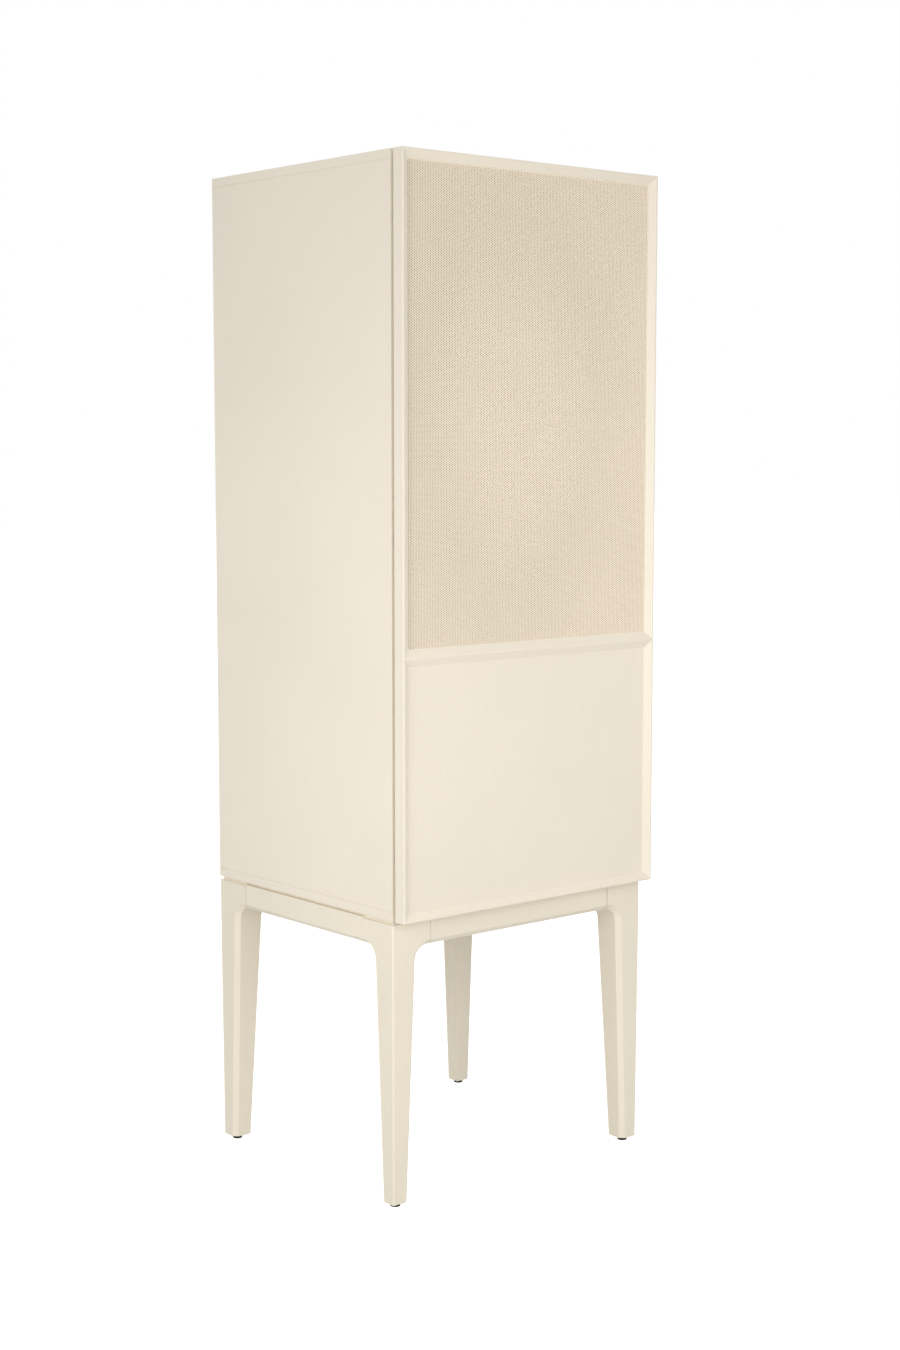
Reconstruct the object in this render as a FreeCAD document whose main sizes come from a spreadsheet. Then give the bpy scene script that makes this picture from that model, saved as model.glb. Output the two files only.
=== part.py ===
import FreeCAD, Part
import math
import os
import re

import Sketcher

# One-door cabinet on legs: a board case, a door with a perforated sheet on its upper field and
# mitred mouldings, three concealed hinges, a push latch and a base of four kneed legs and four aprons.
# Millimetres, +Z up, the door faces -Y, origin under the middle of the cabinet on the floor.

V = FreeCAD.Vector
doc = FreeCAD.newDocument("one_door_cabinet")

# Driving dimensions
SIZES = {
    # case
    "cab_width": 600,
    "case_depth": 527,
    "case_height": 1303.5,
    "board_thick": 16,
    "back_thick": 4,
    "back_inset": 14,
    "groove_depth": 7,
    "groove_clear": 0.15,
    "slip_clear": 0.1,
    "overrun": 2,
    "seam_chamfer": 0.5,
    # shelves
    "shelf_clear": 1,
    "shelf_setback": 2,
    "loose_setback": 22,
    "loose_rear_clear": 20,
    "lower_shelf_level": 224,
    "middle_shelf_level": 733,
    "upper_shelf_level": 1008,
    "pin_diameter": 5,
    "pin_sink": 9,
    "pin_reach": 8,
    "pin_edge": 60,
    "pin_pitch": 32,
    # case joints
    "dowel_diameter": 8,
    "dowel_length": 30,
    "dowel_sink": 11,
    "dowel_edge": 50,
    "cam_edge": 92,
    "cam_setback": 24,
    "cam_diameter": 15,
    "cam_depth": 12.5,
    "cam_bolt_diameter": 7,
    # door
    "door_gap": 3,
    "door_thick": 19,
    "door_round": 6,
    "mould_proud": 9,
    "mould_arris": 3.6,
    "mould_bevel": 13,
    "mould_lip": 0.8,
    "arris_round": 1.2,
    "ridge_round": 0.6,
    "rail_height": 456,
    "sheet_thick": 1,
    "sheet_border": 9,
    "sheet_lap": 3,
    # hinges
    "hinge_end": 110,
    "cup_edge": 22.5,
    "cup_diameter": 35,
    "cup_depth": 11.5,
    "cup_wall": 1,
    "cup_clear": 0.2,
    "rim_width": 1.5,
    "flange_thick": 1,
    "flange_height": 56,
    "flange_width": 16,
    "flange_offset": 8,
    "plate_front": 22,
    "plate_length": 36,
    "plate_boss_width": 12,
    "plate_boss_thick": 6,
    "plate_thick": 1.8,
    "plate_wing_height": 48,
    "plate_wing_width": 12,
    "plate_chamfer": 3,
    "arm_height": 14,
    "arm_width": 16,
    "arm_wall": 1.4,
    "nose_reach": 7,
    "nose_low": 6,
    "nose_high": 12,
    "nose_width": 10,
    # push latch
    "latch_level": 425,
    "latch_length": 46,
    "latch_width": 20,
    "latch_thick": 14,
    "latch_inset": 2,
    "latch_chamfer": 1.5,
    "plunger_diameter": 9,
    "plunger_length": 31,
    "plunger_clear": 0.2,
    "plunger_travel": 2.5,
    "strike_length": 24,
    "strike_width": 14,
    "strike_thick": 1.2,
    "strike_clear": 0.3,
    # base
    "glide_height": 8,
    "glide_diameter": 18,
    "glide_rim": 2,
    "stem_diameter": 6,
    "stem_length": 20,
    "leg_height": 498.5,
    "leg_width": 56.8,
    "foot_width": 36,
    "foot_taper": 2,
    "knee_radius": 27,
    "knee_flat": 1.2,
    "leg_chamfer": 8.5,
    "leg_round": 3,
    "pad_height": 7,
    "pad_inset": 5.3,
    "apron_height": 47.2,
    "apron_thick": 22,
    "apron_rise": 2.2,
    "tongue_inset": 7,
    "joint_chamfer": 2.5,
    "apron_dowel_length": 40,
    "apron_dowel_spread": 18,
    "leg_bolt_inset": 70,
    "leg_bolt_diameter": 6,
    "leg_bolt_head": 12,
    "leg_bolt_seat": 14,
    "leg_bolt_head_thick": 4,
    "sleeve_diameter": 9,
    "sleeve_length": 12,
}

# Places and lengths that follow from the driving dimensions, in words
PLACES = {
    "half_width": "cab_width / 2",
    "inner_width": "cab_width - 2 * board_thick",
    "door_front": "-(case_depth + door_gap + door_thick + mould_proud) / 2",
    "board_front": "door_front + mould_proud",
    "door_rear": "board_front + door_thick",
    "case_front": "door_rear + door_gap",
    "case_bottom": "glide_height + leg_height + pad_height",
    "side_height": "case_height - 2 * board_thick",
    "groove_width": "back_thick + 2 * groove_clear",
    "groove_front": "case_depth - back_inset - groove_width",
    "back_tongue": "groove_depth - 3 * groove_clear",
    "pin_rear": "groove_front - pin_edge",
    "dowel_rise": "dowel_length - dowel_sink + slip_clear",
    "cam_bolt_length": "dowel_sink + cam_setback - cam_diameter / 2 - 2 * slip_clear",
    "mould_width": "mould_arris + mould_bevel",
    "rail_half": "mould_arris / 2 + mould_bevel",
    "sheet_low": "rail_height + sheet_lap",
    "cup_inner": "cup_diameter - 2 * cup_wall",
    "boss_clear": "4 * slip_clear",
    "latch_axis": "latch_thick / 2",
    "plunger_front": "strike_thick + strike_clear - door_gap",
    "knee_height": "leg_height + apron_rise - apron_height",
    "tongue_top": "apron_height - apron_rise + pad_height",
    "leg_slope": "(leg_width - foot_taper - foot_width) / knee_height",
    "leg_slant": "sqrt(1 + leg_slope * leg_slope)",
    "knee_run": "knee_radius / (leg_slope + leg_slant)",
    "knee_low": "knee_height - knee_run / leg_slant",
    "leg_block": "leg_width + knee_run + knee_flat",
    "foot_middle": "foot_taper + foot_width / 2",
    "leg_bolt_length": "leg_height - leg_bolt_foot + pad_height + sleeve_length",
    "leg_bolt_foot": "knee_height + leg_bolt_seat",
}

sheet = doc.addObject("Spreadsheet::Sheet", "sizes")
for row, (alias, size) in enumerate(SIZES.items(), start=1):
    sheet.set("A%d" % row, alias)
    sheet.set("B%d" % row, str(size))
    sheet.setAlias("B%d" % row, alias)
doc.recompute()

# Each plane's pads grow along this direction of its own axis
NORMALS = {"XY_Plane": 1, "XZ_Plane": -1, "YZ_Plane": 1}
NODES = []

# Sides of the many-sided pins and holes: few where nothing shows them
HIDDEN_SIDES = 8
SHOWN_SIDES = 12
CUP_SIDES = 24
GLIDE_SIDES = 24


def bound(text):
    """Turn an expression in words into one that reads the sheet."""

    def read(match):
        word = match.group(0)
        if word in PLACES:
            return "(" + bound(PLACES[word]) + ")"
        return "sizes." + word if word in SIZES else word

    return re.sub(r"[a-z][a-z_]*", read, text)


def number(text):
    """The present value of an expression in words."""
    return float(sheet.evalExpression(bound(text)))


def new_body(label):
    body = doc.addObject("PartDesign::Body", label)
    body.Label = label
    return body


def bind(item, name, text):
    """Tie one property or constraint to its expression."""
    item.setExpression(name, bound(text))


def pin_point(drawing, edge, end, x, y):
    """Hold one end or centre of an edge at its own two lengths from the sketch's origin."""
    for kind, text in (("DistanceX", x), ("DistanceY", y)):
        rule = drawing.addConstraint(Sketcher.Constraint(kind, -1, 1, edge, end, number(text)))
        bind(drawing, "Constraints[%d]" % rule, text)


def arc_between(start, end, radius, turn):
    """The short arc from start to end; turn is 1 for counter-clockwise and -1 for clockwise."""
    chord = end - start
    reach = math.sqrt(radius ** 2 - (chord.Length / 2) ** 2)
    square = V(-chord.y, chord.x, 0).normalize()
    centre = (start + end) / 2 + square * reach * turn
    first, last = (start, end) if turn > 0 else (end, start)
    angles = [math.atan2(spot.y - centre.y, spot.x - centre.x) for spot in (first, last)]
    return Part.ArcOfCircle(Part.Circle(centre, V(0, 0, 1), radius), *angles)


def add_loop(drawing, corners):
    """A closed outline. A corner with a radius and a turn is reached by an arc."""
    spots = [V(number(corner[0]), number(corner[1]), 0) for corner in corners]
    ends = []
    for place, corner in enumerate(corners):
        start, end = spots[place - 1], spots[place]
        if len(corner) == 2:
            edge = drawing.addGeometry(Part.LineSegment(start, end), False)
            ends.append((edge, 1, 2))
            continue
        radius, turn = corner[2:]
        edge = drawing.addGeometry(arc_between(start, end, number(radius), turn), False)
        ends.append((edge, 1, 2) if turn > 0 else (edge, 2, 1))
        rule = drawing.addConstraint(Sketcher.Constraint("Radius", edge, number(radius)))
        bind(drawing, "Constraints[%d]" % rule, radius)
    for place, corner in enumerate(corners):
        edge, _, last = ends[place]
        after, first, _ = ends[(place + 1) % len(ends)]
        drawing.addConstraint(Sketcher.Constraint("Coincident", edge, last, after, first))
        pin_point(drawing, edge, last, corner[0], corner[1])


def new_sketch(body, name, role, loops, offset="0"):
    """A sketch on one of the body's own planes, moved off it along the plane's normal."""
    drawing = body.newObject("Sketcher::SketchObject", body.Label + "_" + name)
    support = next(item for item in body.Origin.OriginFeatures if item.Role == role)
    drawing.AttachmentSupport = [(support, "")]
    drawing.MapMode = "FlatFace"
    bind(drawing, "AttachmentOffset.Base.z", offset)
    for corners in loops:
        add_loop(drawing, corners)
    doc.recompute()
    return drawing


def grow(body, name, role, length, toward=1, **shapes):
    """Pad a sketch along its plane's axis."""
    drawing = new_sketch(body, name, role, **shapes)
    feature = body.newObject("PartDesign::Pad", drawing.Name + "_pad")
    feature.Profile = drawing
    feature.Reversed = toward != NORMALS[role]
    bind(feature, "Length", length)
    doc.recompute()
    return feature


def cut(body, name, role, depth, toward=1, **shapes):
    """Pocket a sketch along its plane's axis, and make sure that it takes something away."""
    before = body.Shape.Volume
    drawing = new_sketch(body, name, role, **shapes)
    feature = body.newObject("PartDesign::Pocket", drawing.Name + "_pocket")
    feature.Profile = drawing
    feature.Reversed = toward == NORMALS[role]
    bind(feature, "Length", depth)
    doc.recompute()
    if feature.Shape.isNull() or feature.Shape.Volume >= before:
        raise ValueError("%s cuts nothing" % feature.Name)
    return feature


def cut_loft(body, name, role, sections):
    """Take away a straight-sided loft through sketches that lie at rising offsets."""
    before = body.Shape.Volume
    drawings = [new_sketch(body, "%s_%d" % (name, count), role, loops=[corners], offset=offset)
                for count, (offset, corners) in enumerate(sections)]
    feature = body.newObject("PartDesign::SubtractiveLoft", body.Label + "_" + name)
    feature.Profile = drawings[0]
    feature.Sections = drawings[1:]
    feature.Ruled = True
    doc.recompute()
    if feature.Shape.isNull() or feature.Shape.Volume >= before:
        raise ValueError("%s cuts nothing" % feature.Name)
    return feature


def dress(body, kind, name, size, edges):
    """Round or chamfer the listed edges of the body."""
    base = body.Tip
    feature = body.newObject("PartDesign::" + kind, body.Label + "_" + name)
    feature.Base = (base, edges)
    bind(feature, "Radius" if kind == "Fillet" else "Size", size)
    doc.recompute()
    if feature.Shape.isNull() or not feature.Shape.isValid():
        raise ValueError("%s has no valid shape" % feature.Name)
    return feature


def edges_where(body, test):
    """Names of the body's edges whose two ends both pass the test."""
    names = []
    for place, edge in enumerate(body.Tip.Shape.Edges, start=1):
        points = [vertex.Point for vertex in edge.Vertexes]
        if len(points) == 2 and all(test(point) for point in points):
            names.append("Edge%d" % place)
    return names


TOUCH = 1e-4


def near(left, right):
    return abs(left - right) < TOUCH


def box_loop(left, low, right, high):
    return [(left, low), (right, low), (right, high), (left, high)]


def place(item, x="0", y="0", z="0", axis=(0, 0, 1), angle=0):
    """Turn an item about an axis and bind where it goes."""
    item.Placement = FreeCAD.Placement(V(), FreeCAD.Rotation(V(*axis), angle))
    for side, text in zip("xyz", (x, y, z)):
        bind(item, "Placement.Base." + side, text)


def finish(item):
    NODES.append(item)
    return item


# Turns that lay a piece's own Z axis along each direction
ALONG = {
    "+x": dict(axis=(0, 1, 0), angle=90),
    "-x": dict(axis=(0, 1, 0), angle=-90),
    "+y": dict(axis=(1, 0, 0), angle=-90),
    "-y": dict(axis=(1, 0, 0), angle=90),
    "+z": dict(axis=(0, 0, 1), angle=0),
    "-z": dict(axis=(1, 0, 0), angle=180),
}


def rod(label, diameter, length, sides):
    """A many-sided pin along its own Z axis."""
    item = doc.addObject("Part::Prism", label)
    item.Polygon = sides
    bind(item, "Circumradius", "(%s) / 2" % diameter)
    bind(item, "Height", length)
    return item


def bit(label, hole):
    """The tool for one hole: it starts an overrun outside the face and goes in along toward."""
    spots = {side: hole[side] for side in "xyz"}
    toward = hole["toward"]
    back = " - overrun" if toward[0] == "+" else " + overrun"
    spots[toward[1]] += back
    item = rod(label, hole["diameter"], "%s + overrun" % hole["depth"], hole["sides"])
    place(item, **spots, **ALONG[toward])
    return item


def hole(x, y, z, toward, diameter, depth, sides=HIDDEN_SIDES):
    return dict(x=x, y=y, z=z, toward=toward, diameter=diameter, depth=depth, sides=sides)


def drill(blank, label, holes):
    """The blank with all its holes, under the node's own name."""
    tools = doc.addObject("Part::Compound", label + "_bits")
    tools.Links = [bit("%s_bit_%d" % (label, count), spot) for count, spot in enumerate(holes)]
    drilled = doc.addObject("Part::Cut", label)
    drilled.Label = label
    drilled.Base = blank
    drilled.Tool = tools
    doc.recompute()
    if drilled.Shape.isNull() or drilled.Shape.Volume >= blank.Shape.Volume:
        raise ValueError("%s is not drilled" % label)
    return drilled


def group(label, source, spots):
    """Identical loose pieces under one name: a copy of source at every spot."""
    copies = []
    for count, spot in enumerate(spots, start=1):
        copy = doc.addObject("App::Link", "%s_%d" % (label, count))
        copy.LinkedObject = source
        place(copy, **spot)
        copies.append(copy)
    compound = doc.addObject("Part::Compound", label)
    compound.Label = label
    compound.Links = copies
    return finish(compound)


# Top and bottom panel: one pattern of board, drawn with its outer face down
PANEL_SIDES = ("board_thick / 2", "cab_width - board_thick / 2")
LEG_BOLTS = [(x, y) for x in ("leg_bolt_inset", "cab_width - leg_bolt_inset")
             for y in ("leg_bolt_inset", "case_depth - leg_bolt_inset")]
DOWEL_HOLE = "dowel_diameter + 2 * slip_clear"
CAM_HOLE = "cam_bolt_diameter + 2 * slip_clear"
SINK = "dowel_sink + slip_clear"


def end_panel(label, more_holes=()):
    """A full-width board with the groove for the back and the holes for dowels and cam bolts."""
    blank = new_body(label + "_board")
    grow(blank, "outline", "XY_Plane", "board_thick",
         loops=[box_loop("0", "0", "cab_width", "case_depth")])
    groove = box_loop("board_thick - groove_depth", "groove_front",
                      "cab_width - board_thick + groove_depth", "groove_front + groove_width")
    cut(blank, "groove", "XY_Plane", "groove_depth", toward=-1, loops=[groove],
        offset="board_thick")
    holes = list(more_holes)
    for x in PANEL_SIDES:
        for y in ("dowel_edge", "case_depth - dowel_edge"):
            holes.append(hole(x, y, "board_thick", "-z", DOWEL_HOLE, SINK))
        for y in ("cam_edge", "case_depth - cam_edge"):
            holes.append(hole(x, y, "board_thick", "-z", CAM_HOLE, SINK))
    return finish(drill(blank, label, holes))


place(end_panel("bottom_panel", [
    hole(x, y, "0", "+z", "sleeve_diameter + 2 * slip_clear", "sleeve_length + slip_clear")
    for x, y in LEG_BOLTS]), x="-half_width", y="case_front", z="case_bottom")
place(end_panel("top_panel"), x="half_width", y="case_front", z="case_bottom + case_height",
      axis=(0, 1, 0), angle=180)

# Sides: drawn standing on their lower end, outer face at x = 0
SHELF_LEVELS = {
    "lower_shelf": "lower_shelf_level",
    "middle_shelf": "middle_shelf_level",
    "upper_shelf": "upper_shelf_level",
}
RAIL_DOWELS = ("dowel_edge", "case_depth - 2 * dowel_edge")


def side_panel(label, level):
    """A standing side; level turns a height above the case bottom into one above its lower end."""
    blank = new_body(label + "_board")
    grow(blank, "outline", "YZ_Plane", "board_thick",
         loops=[box_loop("0", "0", "case_depth", "side_height")])
    groove = box_loop("groove_front", "-overrun", "groove_front + groove_width",
                      "side_height + overrun")
    cut(blank, "groove", "YZ_Plane", "groove_depth", toward=-1, loops=[groove],
        offset="board_thick")
    seams = [name for end in (0, number("side_height"))
             for name in edges_where(blank, lambda p: near(p.x, 0) and near(p.z, end))]
    dress(blank, "Chamfer", "seam_chamfers", "seam_chamfer", seams)
    holes = []
    for shelf in SHELF_LEVELS.values():
        for step in (" - pin_pitch", "", " + pin_pitch"):
            z = level("%s - pin_diameter / 2 - slip_clear%s" % (shelf, step))
            for y in ("pin_edge", "pin_rear"):
                holes.append(hole("board_thick", y, z, "-x", "pin_diameter + slip_clear",
                                  "pin_sink + slip_clear", SHOWN_SIDES))
    for y in RAIL_DOWELS:
        holes.append(hole("board_thick", y, level("rail_height"), "-x", DOWEL_HOLE, SINK))
    for end, toward in (("0", "+z"), ("side_height", "-z")):
        for y in ("dowel_edge", "case_depth - dowel_edge"):
            holes.append(hole("board_thick / 2", y, end, toward, DOWEL_HOLE, "dowel_rise"))
        for y in ("cam_edge", "case_depth - cam_edge"):
            holes.append(hole("board_thick / 2", y, end, toward, CAM_HOLE, "cam_setback"))
            inward = " + cam_setback" if toward == "+z" else " - cam_setback"
            holes.append(hole("board_thick", y, end + inward, "-x",
                              "cam_diameter + 2 * slip_clear", "cam_depth + slip_clear",
                              SHOWN_SIDES))
    return finish(drill(blank, label, holes))


place(side_panel("left_side", lambda height: "%s - board_thick" % height),
      x="-half_width", y="case_front", z="case_bottom + board_thick")
place(side_panel("right_side", lambda height: "case_height - board_thick - (%s)" % height),
      x="half_width", y="case_front", z="case_bottom + case_height - board_thick",
      axis=(0, 1, 0), angle=180)

# Back panel, held in the grooves all round
back_panel = new_body("back_panel")
grow(back_panel, "board", "XZ_Plane", "back_thick", loops=[box_loop(
    "-(inner_width / 2 + back_tongue)", "board_thick - back_tongue",
    "inner_width / 2 + back_tongue", "case_height - board_thick + back_tongue")])
place(back_panel, y="case_front + groove_front + groove_clear", z="case_bottom")
finish(back_panel)

# Fixed shelf behind the middle rail of the door
fixed_board = new_body("fixed_shelf_board")
grow(fixed_board, "outline", "XY_Plane", "board_thick", loops=[box_loop(
    "-inner_width / 2", "shelf_setback", "inner_width / 2", "groove_front")])
place(finish(drill(fixed_board, "fixed_shelf", [
    hole(x, y, "board_thick / 2", toward, DOWEL_HOLE, "dowel_rise")
    for x, toward in (("-inner_width / 2", "+x"), ("inner_width / 2", "-x"))
    for y in RAIL_DOWELS])), y="case_front", z="case_bottom + rail_height - board_thick / 2")


def loose_shelf(label, level):
    """A shelf that lies on four pins."""
    body = new_body(label)
    grow(body, "board", "XY_Plane", "board_thick", loops=[box_loop(
        "-inner_width / 2 + shelf_clear", "loose_setback",
        "inner_width / 2 - shelf_clear", "groove_front - loose_rear_clear")])
    place(body, y="case_front", z="case_bottom + " + level)
    return finish(body)


for shelf_name, shelf_level in SHELF_LEVELS.items():
    loose_shelf(shelf_name, shelf_level)

# Shelf pins: four under each loose shelf
shelf_pin = rod("shelf_pin", "pin_diameter - slip_clear", "pin_sink + pin_reach", SHOWN_SIDES)
PIN_SPOTS = []
for shelf_level in SHELF_LEVELS.values():
    for pin_y in ("case_front + pin_edge", "case_front + pin_rear"):
        pin_z = "case_bottom + %s - pin_diameter / 2 - slip_clear" % shelf_level
        PIN_SPOTS.append(dict(ALONG["+x"], x="-inner_width / 2 - pin_sink", y=pin_y, z=pin_z))
        PIN_SPOTS.append(dict(ALONG["-x"], x="inner_width / 2 + pin_sink", y=pin_y, z=pin_z))
group("shelf_pins", shelf_pin, PIN_SPOTS)

# Dowels of the case: four in each end panel, two in each end of the fixed shelf.
# Cam fittings: a bolt in each end panel and the round housing that grips it.
dowel = rod("dowel", "dowel_diameter", "dowel_length - 2 * slip_clear", HIDDEN_SIDES)
cam_bolt = rod("cam_bolt", "cam_bolt_diameter", "cam_bolt_length", HIDDEN_SIDES)
cam_housing = rod("cam_housing", "cam_diameter", "cam_depth", SHOWN_SIDES)
DOWEL_SPOTS = []
BOLT_SPOTS = []
CAM_SPOTS = []
FLOORS = (("+z", "case_bottom + board_thick - dowel_sink"),
          ("-z", "case_bottom + case_height - board_thick + dowel_sink"))
for side, toward in (("-", "+x"), ("", "-x")):
    middle_x = "%s(half_width - board_thick / 2)" % side
    for up, z in FLOORS:
        for y in ("case_front + dowel_edge", "case_front + case_depth - dowel_edge"):
            DOWEL_SPOTS.append(dict(ALONG[up], x=middle_x, y=y, z=z))
        for y in ("case_front + cam_edge", "case_front + case_depth - cam_edge"):
            BOLT_SPOTS.append(dict(ALONG[up], x=middle_x, y=y, z=z))
    for y in RAIL_DOWELS:
        DOWEL_SPOTS.append(dict(ALONG[toward], x="%s(inner_width / 2 + dowel_sink)" % side,
                                y="case_front + " + y, z="case_bottom + rail_height"))
    for y in ("case_front + cam_edge", "case_front + case_depth - cam_edge"):
        for z in ("board_thick + cam_setback", "case_height - board_thick - cam_setback"):
            CAM_SPOTS.append(dict(ALONG[toward], x="%s(inner_width / 2 + cam_depth)" % side,
                                  y=y, z="case_bottom + " + z))
group("case_dowels", dowel, DOWEL_SPOTS)
group("cam_bolts", cam_bolt, BOLT_SPOTS)
group("cam_housings", cam_housing, CAM_SPOTS)

# Leg: a square block sawn to the same outline from two sides, so that it tapers down to the
# foot, with a knee toward each apron, a chamfer along both knees and a pad that lifts the case
LEG_OUTLINE = [
    ("foot_taper", "0"),
    ("foot_taper + foot_width", "0"),
    ("leg_width - knee_run * leg_slope / leg_slant", "knee_low"),
    ("leg_width + knee_run", "knee_height", "knee_radius", -1),
    ("leg_block", "knee_height"),
    ("leg_block", "leg_height"),
    ("0", "leg_height"),
    ("0", "knee_low"),
]


def corner_waste(skin, radius):
    """What a round takes off the corner of two faces that lie at skin."""
    inside = "%s + %s" % (skin, radius)
    return [("-overrun", "-overrun"), (inside, "-overrun"), (inside, skin),
            (skin, inside, radius, -1), ("-overrun", inside)]


def leg(label, x, y, angle):
    body = new_body(label + "_wood")
    grow(body, "front_outline", "XZ_Plane", "leg_block", loops=[LEG_OUTLINE])
    waste = box_loop("-overrun", "-overrun", "leg_block + overrun", "leg_height + overrun")
    cut(body, "side_waste", "YZ_Plane", "leg_block + overrun", loops=[waste, LEG_OUTLINE])
    low = number("knee_low")
    step = number("foot_taper")
    inner = number("foot_width / 2")

    def on_outer_knee(p):
        """On the inner border of either outer face, below the block's underside."""
        skin = step * (1 - min(p.z / low, 1))
        return (near(p.y, skin) and p.x > inner) or (near(p.x, skin) and p.y > inner)

    knee = edges_where(body, lambda p: on_outer_knee(p) and p.z < number("knee_height") + TOUCH)
    knee = [name for name in knee if not near_foot(body, name)]
    dress(body, "Chamfer", "knee_chamfers", "leg_chamfer", knee)
    cut_loft(body, "outer_corner", "XY_Plane", [
        ("0", corner_waste("foot_taper", "leg_round")),
        ("knee_low", corner_waste("0", "leg_round")),
        ("leg_height", corner_waste("0", "leg_round")),
    ])
    pad = box_loop("pad_inset", "pad_inset", "leg_block", "leg_block")
    grow(body, "pad", "XY_Plane", "pad_height", loops=[pad], offset="leg_height")
    bolt = ("leg_bolt_inset", "leg_bolt_inset", "0", "+z")
    holes = [
        hole("foot_middle", "foot_middle", "0", "+z", "stem_diameter + 2 * slip_clear",
             "stem_length + slip_clear"),
        hole(*bolt, "leg_bolt_head + 2 * slip_clear", "leg_bolt_foot", SHOWN_SIDES),
        hole(*bolt, "leg_bolt_diameter + 2 * slip_clear", "leg_height + pad_height + overrun"),
    ]
    for sign in "+-":
        z = "knee_height + apron_height / 2 %s apron_dowel_spread / 2" % sign
        depth = "apron_dowel_length / 2 + slip_clear"
        holes.append(hole("leg_block", "apron_thick / 2", z, "-x", DOWEL_HOLE, depth))
        holes.append(hole("apron_thick / 2", "leg_block", z, "-y", DOWEL_HOLE, depth))
    wood = drill(body, label, holes)
    place(wood, x=x, y=y, z="glide_height", angle=angle)
    return finish(wood)


def near_foot(body, name):
    """An edge that lies in the foot's end face."""
    edge = body.Tip.Shape.Edges[int(name[4:]) - 1]
    return all(near(vertex.Z, 0) for vertex in edge.Vertexes)


CORNERS = {
    "front_left": ("-half_width", "case_front", 0),
    "front_right": ("half_width", "case_front", 90),
    "rear_right": ("half_width", "case_front + case_depth", 180),
    "rear_left": ("-half_width", "case_front + case_depth", -90),
}
for corner_name, (corner_x, corner_y, corner_turn) in CORNERS.items():
    leg("leg_" + corner_name, corner_x, corner_y, corner_turn)

# Aprons: drawn along X, outer face at y = 0, lower outer edge chamfered like the knees, and a
# tongue set back on top that carries the case between the pads of the legs
APRON_SECTION = [
    ("0", "leg_chamfer"),
    ("leg_chamfer", "0"),
    ("apron_thick", "0"),
    ("apron_thick", "tongue_top"),
    ("tongue_inset", "tongue_top"),
    ("tongue_inset", "apron_height"),
    ("0", "apron_height"),
]
APRONS = {
    "apron_front": ("cab_width", "-half_width + leg_block", "case_front", 0),
    "apron_right": ("case_depth", "half_width", "case_front + leg_block", 90),
    "apron_rear": ("cab_width", "half_width - leg_block", "case_front + case_depth", 180),
    "apron_left": ("case_depth", "-half_width", "case_front + case_depth - leg_block", -90),
}


def apron(label, span, x, y, angle):
    body = new_body(label + "_wood")
    length = "%s - 2 * leg_block" % span
    grow(body, "section", "YZ_Plane", length, loops=[APRON_SECTION])
    ends = (0, number(length))
    reach = number("leg_chamfer")
    rim = edges_where(body, lambda p: any(near(p.x, end) for end in ends) and p.y < reach + TOUCH
                      and (near(p.y, 0) or near(p.y + p.z, reach)))
    rim = [name for name in rim if upright(body, name)]
    dress(body, "Chamfer", "end_grooves", "joint_chamfer", rim)
    holes = [hole(end, "apron_thick / 2", "apron_height / 2 %s apron_dowel_spread / 2" % sign,
                  toward, DOWEL_HOLE, "apron_dowel_length / 2 + slip_clear")
             for end, toward in (("0", "+x"), (length, "-x")) for sign in "+-"]
    wood = drill(body, label, holes)
    place(wood, x=x, y=y, z="glide_height + knee_height", angle=angle)
    return finish(wood)


def upright(body, name):
    """An edge that lies in an end face, not along the length."""
    edge = body.Tip.Shape.Edges[int(name[4:]) - 1]
    return near(edge.Vertexes[0].X, edge.Vertexes[1].X)


for apron_name, (apron_span, apron_x, apron_y, apron_turn) in APRONS.items():
    apron(apron_name, apron_span, apron_x, apron_y, apron_turn)

# Apron dowels: two at each end of each apron
apron_dowel = rod("apron_dowel", "dowel_diameter", "apron_dowel_length - 2 * slip_clear",
                  HIDDEN_SIDES)
APRON_DOWEL_SPOTS = []
HALF_DOWEL = "(apron_dowel_length / 2 - slip_clear)"
for sign in "+-":
    level = "glide_height + knee_height + apron_height / 2 %s apron_dowel_spread / 2" % sign
    for x in ("-half_width + leg_block", "half_width - leg_block"):
        for y in ("case_front + apron_thick / 2", "case_front + case_depth - apron_thick / 2"):
            APRON_DOWEL_SPOTS.append(dict(ALONG["+x"], x=x + " - " + HALF_DOWEL, y=y, z=level))
    for y in ("case_front + leg_block", "case_front + case_depth - leg_block"):
        for x in ("-half_width + apron_thick / 2", "half_width - apron_thick / 2"):
            APRON_DOWEL_SPOTS.append(dict(ALONG["+y"], x=x, y=y + " - " + HALF_DOWEL, z=level))
group("apron_dowels", apron_dowel, APRON_DOWEL_SPOTS)


def joined(label, kind, first, second):
    """Two solids made one, or one less the other."""
    item = doc.addObject("Part::" + kind, label)
    item.Base = first
    item.Tool = second
    return item


# Leg bolts from below, and the threaded sleeves in the bottom panel that take them
bolt_head = rod("leg_bolt_hexagon", "leg_bolt_head", "leg_bolt_head_thick", 6)
place(bolt_head, z="-leg_bolt_head_thick")
leg_bolt = joined("leg_bolt", "Fuse", bolt_head,
                  rod("leg_bolt_shank", "leg_bolt_diameter", "leg_bolt_length", HIDDEN_SIDES))
sleeve_bore = rod("sleeve_bore", "leg_bolt_diameter + 2 * slip_clear",
                  "sleeve_length + 2 * overrun", HIDDEN_SIDES)
place(sleeve_bore, z="-overrun")
sleeve = joined("sleeve", "Cut",
                rod("sleeve_wall", "sleeve_diameter", "sleeve_length", HIDDEN_SIDES), sleeve_bore)
BOLT_PLACES = [dict(x="-half_width + " + x, y="case_front + " + y) for x, y in LEG_BOLTS]
group("leg_bolts", leg_bolt,
      [dict(spot, z="glide_height + leg_bolt_foot") for spot in BOLT_PLACES])
group("leg_bolt_sleeves", sleeve, [dict(spot, z="case_bottom") for spot in BOLT_PLACES])

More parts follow.
